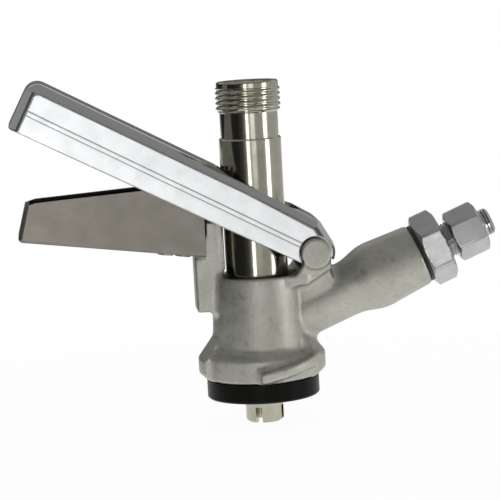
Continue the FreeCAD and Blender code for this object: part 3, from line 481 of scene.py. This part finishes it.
def cast_skin(node):
    """The casting as it leaves the mould: hollow corners filled by a ball, sharp edges rounded."""
    points, triangles = with_plug(*merged_copy(node))
    reach = CAST_FILLET + CAST_VOXEL
    plain = distance_field(points, triangles, NO_QUADS, reach)
    outside = grown(plain, CAST_FILLET, reach)
    filled = grown(outside, -CAST_FILLET, 2 * CAST_EDGE)
    inside = grown(filled, -CAST_EDGE, 2 * CAST_EDGE)
    return skin_at(inside, CAST_EDGE)


def mesh_of(name, points, faces):
    """Smooth mesh from arrays of points and corners."""
    mesh = bpy.data.meshes.new(name)
    mesh.from_pydata(points.tolist(), [], faces.tolist())
    mesh.shade_smooth()
    return mesh


def smooth_copy(name, node):
    """A node's own shape with its rounds shaded as curves and its flats kept flat."""
    mesh = mesh_of(name, *merged_copy(node))
    mesh.set_sharp_from_angle(angle=SHARP_ANGLE)
    carrier = bpy.data.objects.new(name, mesh)
    bpy.context.scene.collection.objects.link(carrier)
    weigh = carrier.modifiers.new("weigh", "WEIGHTED_NORMAL")
    weigh.keep_sharp = True
    made = bpy.data.meshes.new_from_object(carrier.evaluated_get(bpy.context.evaluated_depsgraph_get()))
    carrier.modifiers.clear()
    bpy.data.objects.remove(carrier)
    return made


for name, node, slot, body in (
        ("handle", "lever", "lever_chrome", "lever_arm"),
        ("grip_channel", "fixed_grip", "grip_steel", "coupler_body"),
        ("seal_ring", "keg_seal", "black_rubber", "coupler_body")):
    new_piece(name, smooth_copy(name, node), slot, body, node)

casting = mesh_of("casting", *cast_skin("body_casting"))
new_piece("casting", casting, "cast_metal", "coupler_body", "body_casting")

AROUND = 144


def mesh_from(sheet, name):
    """Finished mesh of a bmesh: faces outwards, smooth but for its real corners."""
    bmesh.ops.recalc_face_normals(sheet, faces=sheet.faces)
    mesh = bpy.data.meshes.new(name)
    sheet.to_mesh(mesh)
    sheet.free()
    mesh.shade_smooth()
    mesh.set_sharp_from_angle(angle=SHARP_ANGLE)
    return mesh


def turned_form(outline, shape=None):
    """Closed form turned about Z from (radius, height) corners.

    A shape, where one is given, changes the radius round the turn, as a hexagon does.
    """
    sheet = bmesh.new()
    rings = []
    for radius, height in outline:
        ring = []
        for i in range(AROUND):
            angle = 2 * math.pi * i / AROUND
            reach = shape(radius, angle) if shape else radius
            spot = (reach * math.cos(angle) * MM, reach * math.sin(angle) * MM, height * MM)
            ring.append(sheet.verts.new(spot))
        rings.append(ring)
    for ring, after in zip(rings, rings[1:] + rings[:1]):
        for i in range(AROUND):
            j = (i + 1) % AROUND
            sheet.faces.new((ring[i], ring[j], after[j], after[i]))
    return sheet


def with_mesh(sheet, mesh):
    """Adds a made mesh to a bmesh and drops the mesh."""
    sheet.from_mesh(mesh)
    bpy.data.meshes.remove(mesh)
    return sheet


SLEEVE_SIZES = ("Foot", "Length", "Crest", "Core", "Pitch", "Depth", "Bevel", "Lead")
GROOVE_SHARE = 0.85
FLANK_SHARE = 0.7


def sleeve_tree():
    """Threaded sleeve: a grid bent into a closed ring whose outside follows the thread."""
    tree = bpy.data.node_groups.new("threaded_sleeve", "GeometryNodeTree")
    tree.interface.new_socket("Geometry", in_out="INPUT", socket_type="NodeSocketGeometry")
    for size in SLEEVE_SIZES:
        tree.interface.new_socket(size, in_out="INPUT", socket_type="NodeSocketFloat")
    tree.interface.new_socket("Rows", in_out="INPUT", socket_type="NodeSocketInt")
    tree.interface.new_socket("Finish", in_out="INPUT", socket_type="NodeSocketMaterial")
    tree.interface.new_socket("Geometry", in_out="OUTPUT", socket_type="NodeSocketGeometry")
    g = Tree(tree)
    given = g.node("NodeGroupInput")
    foot, length, crest, core, pitch, depth, bevel, lead, rows, finish = (
        Value(tree, given.outputs[name]) for name in (*SLEEVE_SIZES, "Rows", "Finish"))
    grid = g.value("GeometryNodeMeshGrid", {}, {
        "Size X": 1.0, "Size Y": 1.0, "Vertices X": AROUND + 1, "Vertices Y": rows})
    spot = g.node("ShaderNodeSeparateXYZ", {}, {"Vector": g.value("GeometryNodeInputPosition")})
    turn = Value(tree, spot.outputs["X"]) + 0.5
    row = (Value(tree, spot.outputs["Y"]) + 0.5) * (rows - 1.0)
    rise = ((row - 1.0) / (rows - 4.0)).least(1.0).most(0.0)
    height = foot + length * rise * (1.0 - row.above(rows - 1.5))
    outer = row.above(0.5) * (1.0 - row.above(rows - 2.5))
    blank = crest - (bevel - (rise * length).least((1.0 - rise) * length)).most(0.0)
    phase = (height / pitch - turn).part_of_turn()
    groove = ((GROOVE_SHARE - (phase * 2.0 - 1.0).size()) / FLANK_SHARE).least(1.0).most(0.0)
    deep = depth * groove.most((height - foot - length + lead).above(0.0))
    radius = core + outer * (blank.least(crest - deep) - core)
    angle = turn * (2 * math.pi)
    place = g.value("ShaderNodeCombineXYZ", {}, {
        "X": radius * angle.cosine(), "Y": radius * angle.sine(), "Z": height})
    bent = g.value("GeometryNodeSetPosition", {}, {"Geometry": grid, "Position": place})
    closed = g.value("GeometryNodeMergeByDistance", {}, {"Geometry": bent, "Distance": 0.001 * MM})
    solid = g.value("GeometryNodeRealizeInstances", {}, {"Geometry": closed})
    dressed = g.value("GeometryNodeSetMaterial", {}, {"Geometry": solid, "Material": finish})
    g.node("NodeGroupOutput", {}, {"Geometry": dressed})
    return tree


SLEEVE_TREE = sleeve_tree()
ROWS_PER_PITCH = 11


def threaded_sleeve(slot, foot, length, crest, core, pitch, depth, bevel, lead):
    """Mesh of one threaded sleeve about Z, from sizes in millimetres."""
    carrier = bpy.data.objects.new("sleeve", bpy.data.meshes.new("sleeve"))
    bpy.context.scene.collection.objects.link(carrier)
    modifier = carrier.modifiers.new("sleeve", "NODES")
    modifier.node_group = SLEEVE_TREE
    sizes = dict(zip(SLEEVE_SIZES, (
        size * MM for size in (foot, length, crest, core, pitch, depth, bevel, lead))))
    given = {**sizes, "Rows": int(length / pitch * ROWS_PER_PITCH) + 4, "Finish": FINISHES[slot]}
    for item in SLEEVE_TREE.interface.items_tree:
        if item.in_out == "INPUT" and item.name in given:
            modifier[item.identifier] = given[item.name]
    evaluated = carrier.evaluated_get(bpy.context.evaluated_depsgraph_get())
    mesh = bpy.data.meshes.new_from_object(evaluated)
    carrier.modifiers.clear()
    bpy.data.objects.remove(carrier)
    return mesh


def cut_by(mesh, cutter):
    """Mesh with the cutter's solids taken out of it."""
    body = bpy.data.objects.new("blank", mesh)
    tool = bpy.data.objects.new("cutter", cutter)
    for thing in (body, tool):
        bpy.context.scene.collection.objects.link(thing)
    cut = body.modifiers.new("cut", "BOOLEAN")
    cut.operation = "DIFFERENCE"
    cut.solver = "EXACT"
    cut.object = tool
    made = bpy.data.meshes.new_from_object(body.evaluated_get(bpy.context.evaluated_depsgraph_get()))
    body.modifiers.clear()
    bpy.data.objects.remove(body)
    bpy.data.objects.remove(tool)
    return made


def tip_and_pin_cutters():
    """Boxes for the tip's notches and round plugs for the drive pins."""
    sheet = bmesh.new()
    for i in range(TIP_NOTCHES):
        turn = Matrix.Rotation(NOTCH_TURN + 2 * math.pi * i / TIP_NOTCHES, 4, "Z")
        shape = Matrix.Diagonal((2 * STEM_RADIUS * MM, NOTCH_WIDTH * MM, 2 * NOTCH_DEPTH * MM, 1))
        place = Matrix.Translation(((STEM_RADIUS + BEER_RADIUS / 2) * MM, 0, TIP_FOOT * MM))
        bmesh.ops.create_cube(sheet, size=1.0, matrix=turn @ place @ shape)
    for side in (-1, 1):
        place = Matrix.Translation((0, side * TUBE_RADIUS * MM, DRIVE_HEIGHT * MM))
        bmesh.ops.create_cone(sheet, cap_ends=True, segments=PIN_SIDES, radius1=DRIVE_RADIUS * MM,
                              radius2=DRIVE_RADIUS * MM, depth=2 * DRIVE_DEPTH * MM,
                              matrix=place @ Matrix.Rotation(math.pi / 2, 4, "X"))
    return mesh_from(sheet, "cutters")


def beer_tube():
    """Sliding tube: turned from foot to outlet, with the outlet's thread as a sleeve round its head."""
    outline = [
        (BEER_RADIUS, TIP_FOOT),
        (STEM_RADIUS - TIP_BEVEL, TIP_FOOT),
        (STEM_RADIUS, TIP_FOOT + TIP_BEVEL),
        (STEM_RADIUS, SEAL_FLANGE_FOOT),
        (SEAL_FLANGE_RADIUS - SEAL_FLANGE_BEVEL, SEAL_FLANGE_FOOT),
        (SEAL_FLANGE_RADIUS, SEAL_FLANGE_FOOT + SEAL_FLANGE_BEVEL),
        (SEAL_FLANGE_RADIUS, SEAL_FLANGE_TOP - SEAL_FLANGE_BEVEL),
        (SEAL_FLANGE_RADIUS - SEAL_FLANGE_BEVEL, SEAL_FLANGE_TOP),
        (STEM_RADIUS, SEAL_FLANGE_TOP),
        (STEM_RADIUS, TUBE_FOOT - (TUBE_RADIUS - STEM_RADIUS) / 2),
        (TUBE_RADIUS, TUBE_FOOT),
        (TUBE_RADIUS, NECK_FOOT - NECK_BEVEL),
        (TUBE_RADIUS - NECK_BEVEL, NECK_FOOT),
        (NECK_RADIUS, NECK_FOOT),
        (NECK_RADIUS, THREAD_FOOT),
        (OUTLET_CORE, THREAD_FOOT),
        (OUTLET_CORE, OUTLET_HEIGHT),
        (RETAINER_RADIUS, OUTLET_HEIGHT),
        (RETAINER_RADIUS, RETAINER_SEAT),
        (BALL_BORE_RADIUS, RETAINER_SEAT),
        (BALL_BORE_RADIUS, BALL_SEAT_TOP),
        (BEER_RADIUS, BALL_SEAT_FOOT),
    ]
    tube = cut_by(mesh_from(turned_form(outline), "tube"), tip_and_pin_cutters())
    sleeve = threaded_sleeve("probe_steel", THREAD_FOOT, OUTLET_HEIGHT - THREAD_FOOT, OUTLET_RADIUS,
                             OUTLET_CORE, OUTLET_PITCH, THREAD_DEPTH, OUTLET_BEVEL, THREAD_LEAD)
    sheet = with_mesh(with_mesh(bmesh.new(), tube), sleeve)
    return mesh_from(sheet, "beer_tube")


new_piece("beer_tube", beer_tube(), "probe_steel", "probe_assembly", "probe")


def hexagon_limit(across, turn):
    """Limits a radius to a hexagon with slightly rounded corners."""
    corner = across / 2 / math.cos(math.pi / 6)

    def limit(radius, angle):
        flat = (angle - turn) % (math.pi / 3) - math.pi / 6
        return min(radius, across / 2 / math.cos(flat), corner - HEX_CORNER_SHARE * across)
    return limit


def laid_along_arm(sheet):
    """Lays a form that was made about Z along the gas arm."""
    along = Vector((math.cos(ARM_TILT), 0, math.sin(ARM_TILT)))
    upward = Vector((-math.sin(ARM_TILT), 0, math.cos(ARM_TILT)))
    turn = Matrix((Vector((0, 1, 0)), upward, along)).transposed().to_4x4()
    bmesh.ops.transform(sheet, verts=sheet.verts, matrix=Matrix.Translation((0, 0, ARM_HEIGHT * MM)) @ turn)
    return sheet


def hexagon_outline(across, face, back):
    """Outer corners of a hexagon bar whose ends are bevelled at 30 degrees."""
    corner = across / 2 / math.cos(math.pi / 6)
    inner = across / 2 - HEX_BEVEL / 2
    bevel = (corner - inner) * math.tan(math.pi / 6)
    steps = [i / 6 for i in range(7)]
    near = [(inner + (corner - inner) * t, face + bevel * t) for t in steps]
    far = [(inner + (corner - inner) * t, back - bevel * t) for t in reversed(steps)]
    return near + far


def large_fitting():
    """Fitting with the large hexagon: shank in the arm, threaded neck on the outside."""
    outline = [
        (FITTING_BORE_RADIUS, FITTING_FOOT),
        (FITTING_SHANK_RADIUS, FITTING_FOOT),
        (FITTING_SHANK_RADIUS, HEX_FACE),
        *hexagon_outline(HEX_ACROSS, HEX_FACE, HEX_BACK),
        (NECK_THREAD_CORE, HEX_BACK),
        (NECK_THREAD_CORE, NECK_END),
        (FITTING_BORE_RADIUS, NECK_END),
    ]
    sleeve = threaded_sleeve("fitting_nickel", HEX_BACK, NECK_END - HEX_BACK, NECK_THREAD_RADIUS,
                             NECK_THREAD_CORE, NECK_THREAD_PITCH, NECK_THREAD_DEPTH,
                             NECK_THREAD_BEVEL, NECK_THREAD_LEAD)
    sheet = with_mesh(turned_form(outline, hexagon_limit(HEX_ACROSS, HEX_TURN)), sleeve)
    return mesh_from(laid_along_arm(sheet), "large_fitting")


def union_nut():
    """Nut with the small hexagon, bored for the neck's thread and for the stub tube."""
    outline = [
        (NUT_BORE_RADIUS, NUT_FACE),
        *hexagon_outline(NUT_ACROSS, NUT_FACE, NUT_END),
        (NUT_EXIT_RADIUS, NUT_END),
        (NUT_EXIT_RADIUS, NUT_THROAT),
        (NUT_BORE_RADIUS, NUT_THROAT - (NUT_BORE_RADIUS - NUT_EXIT_RADIUS)),
    ]
    sheet = turned_form(outline, hexagon_limit(NUT_ACROSS, NUT_TURN))
    return mesh_from(laid_along_arm(sheet), "union_nut")


new_piece("large_fitting", large_fitting(), "fitting_nickel", "coupler_body", "gas_adapter")
new_piece("union_nut", union_nut(), "fitting_nickel", "coupler_body", "gas_union_nut")


# Studio: a pale round table in a white sweep, with grey cards and tall lights round it
def stage_object(name, sheet, material):
    """Puts a finished bmesh in the scene as part of the studio."""
    mesh = bpy.data.meshes.new(name)
    sheet.to_mesh(mesh)
    sheet.free()
    thing = bpy.data.objects.new(name, mesh)
    bpy.context.scene.collection.objects.link(thing)
    mesh.materials.append(material)
    return thing


FLOOR_GAP = 0.2 * MM
FLOOR_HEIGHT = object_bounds()[0][2] - FLOOR_GAP
FLOOR_RADIUS = 0.19
FLOOR_WHITE_SHARE = 0.88
FLOOR_SIDES = 96
WORLD_LIGHT = 0.7


def empty_tree(owner):
    """Node tree of a new material or world, with its first nodes taken out."""
    owner.use_nodes = True
    owner.node_tree.nodes.clear()
    return Tree(owner.node_tree)


def seen_directly(m):
    """One for what the camera, a mirror or clear glass shows, and zero for the light it gives."""
    rays = m.node("ShaderNodeLightPath")
    return Value(m.tree, rays.outputs["Is Camera Ray"]).most(
        Value(m.tree, rays.outputs["Is Glossy Ray"])).most(
        Value(m.tree, rays.outputs["Is Transmission Ray"]))


def floor_finish():
    """White top that keeps a soft shadow and shows as white background."""
    material = bpy.data.materials.new("white_table")
    m = empty_tree(material)
    matt = m.value("ShaderNodeBsdfDiffuse", {}, {"Color": (0.85, 0.85, 0.85, 1.0)})
    glow = m.value("ShaderNodeEmission", {}, {"Color": (1, 1, 1, 1), "Strength": 1.08})
    mix = m.value("ShaderNodeMixShader", {}, {
        0: seen_directly(m) * FLOOR_WHITE_SHARE, 1: matt, 2: glow})
    m.node("ShaderNodeOutputMaterial", {}, {"Surface": mix})
    return material


def card_finish(name, strength):
    """Even white glow."""
    material = bpy.data.materials.new(name)
    m = empty_tree(material)
    glow = m.value("ShaderNodeEmission", {}, {"Color": (1, 1, 1, 1), "Strength": strength})
    m.node("ShaderNodeOutputMaterial", {}, {"Surface": glow})
    return material


def level_disc(radius, height, segments):
    """Flat round sheet at a height."""
    sheet = bmesh.new()
    bmesh.ops.create_circle(sheet, cap_ends=True, segments=segments, radius=radius)
    bmesh.ops.translate(sheet, verts=sheet.verts, vec=(0, 0, height))
    return sheet


def lit_card(name, sheet, strength):
    """Glowing sheet that lights the object and shows in its metal, but not to the camera."""
    card = stage_object(name, sheet, card_finish(name + "_face", strength))
    card.visible_camera = False
    card.visible_shadow = False


CARD_STEPS = 12
CEILING_SIDES = 48
CARD_DISTANCE = 1.5
NEAR_CARD_DISTANCE = 1.45


def curved_card(left, right, foot, top, distance):
    """Upright sheet on a circle round the object, between two directions in degrees."""
    sheet = bmesh.new()
    rows = []
    for i in range(CARD_STEPS + 1):
        angle = math.radians(left + (right - left) * i / CARD_STEPS)
        x = distance * math.sin(angle)
        y = -distance * math.cos(angle)
        rows.append([sheet.verts.new((x, y, foot)), sheet.verts.new((x, y, top))])
    for near, far in zip(rows, rows[1:]):
        sheet.faces.new((near[0], near[1], far[1], far[0]))
    return sheet


# Heights in metres at which the cards meet
LOW = -0.9
HORIZON = 0.15
LEFT_HORIZON = 0.25
BAND = 0.50
TOP = 1.3

# Each card's left and right edge as seen from above, in degrees from straight in front and positive
# to the right, then its foot, its top, its distance and its strength
CARDS = (
    ("left_card", -150, -45, LOW, LEFT_HORIZON, CARD_DISTANCE, 0.02),
    ("high_left_card", -150, -45, LEFT_HORIZON, TOP, CARD_DISTANCE, 0.42),
    ("left_corner_card", -45, -30, LOW, TOP, CARD_DISTANCE, 0.05),
    ("left_front_card", -30, -17, LOW, TOP, CARD_DISTANCE, 0.16),
    ("front_light", -17, -8.5, LOW, HORIZON, CARD_DISTANCE, 5.2),
    ("front_card", -8.5, 54, LOW, HORIZON, CARD_DISTANCE, 0.50),
    ("lever_card", 0, 17, -0.07, HORIZON + 0.05, NEAR_CARD_DISTANCE, 1.7),
    ("right_light", 54, 68, LOW, HORIZON, CARD_DISTANCE, 5.4),
    ("right_card", 68, 150, LOW, TOP, CARD_DISTANCE, 0.60),
    ("dark_band", -17, 68, HORIZON, BAND, CARD_DISTANCE, 0.05),
    ("high_card", -17, 68, BAND, TOP, CARD_DISTANCE, 0.36),
    ("back_card", 150, 210, -0.03, 0.8, CARD_DISTANCE, 0.16),
)

stage_object("table", level_disc(FLOOR_RADIUS, FLOOR_HEIGHT, FLOOR_SIDES), floor_finish())
for name, left, right, foot, top, distance, strength in CARDS:
    lit_card(name, curved_card(left, right, foot, top, distance), strength)
lit_card("ceiling_card", level_disc(CARD_DISTANCE, TOP, CEILING_SIDES), 0.36)


def white_world():
    """White all round as background, and dimmer as light."""
    world = bpy.data.worlds.new("white_sweep")
    bpy.context.scene.world = world
    m = empty_tree(world)
    glow = m.value("ShaderNodeBackground", {}, {
        "Color": (1, 1, 1, 1), "Strength": seen_directly(m) * (1.0 - WORLD_LIGHT) + WORLD_LIGHT})
    m.node("ShaderNodeOutputWorld", {}, {"Surface": glow})


white_world()

# Camera at the photograph's viewing angle, its place in millimetres
IMAGE_WIDTH = 500
FOCAL_PIXELS = 2420.0
CAMERA_PLACE = Vector((-74.08, -846.77, 162.0)) * MM
CAMERA_YAW = math.radians(-4.857)
CAMERA_PITCH = math.radians(7.379)
CAMERA_ROLL = math.radians(3.2)


def photo_camera():
    """Places the camera where the photograph was taken from."""
    back = Vector((math.sin(CAMERA_YAW) * math.cos(CAMERA_PITCH),
                   -math.cos(CAMERA_YAW) * math.cos(CAMERA_PITCH),
                   math.sin(CAMERA_PITCH)))
    level = Vector((math.cos(CAMERA_YAW), math.sin(CAMERA_YAW), 0))
    upright = level.cross(-back)
    right = level * math.cos(CAMERA_ROLL) - upright * math.sin(CAMERA_ROLL)
    up = upright * math.cos(CAMERA_ROLL) + level * math.sin(CAMERA_ROLL)
    lens = bpy.data.cameras.new("photo_camera")
    lens.sensor_width = 36.0
    lens.lens = lens.sensor_width * FOCAL_PIXELS / IMAGE_WIDTH
    lens.clip_start = 0.01
    camera = bpy.data.objects.new("photo_camera", lens)
    bpy.context.scene.collection.objects.link(camera)
    turned = Matrix((right, up, back)).transposed().to_4x4()
    camera.matrix_world = Matrix.Translation(CAMERA_PLACE) @ turned
    bpy.context.scene.camera = camera


photo_camera()
bpy.context.scene.view_settings.view_transform = "Standard"
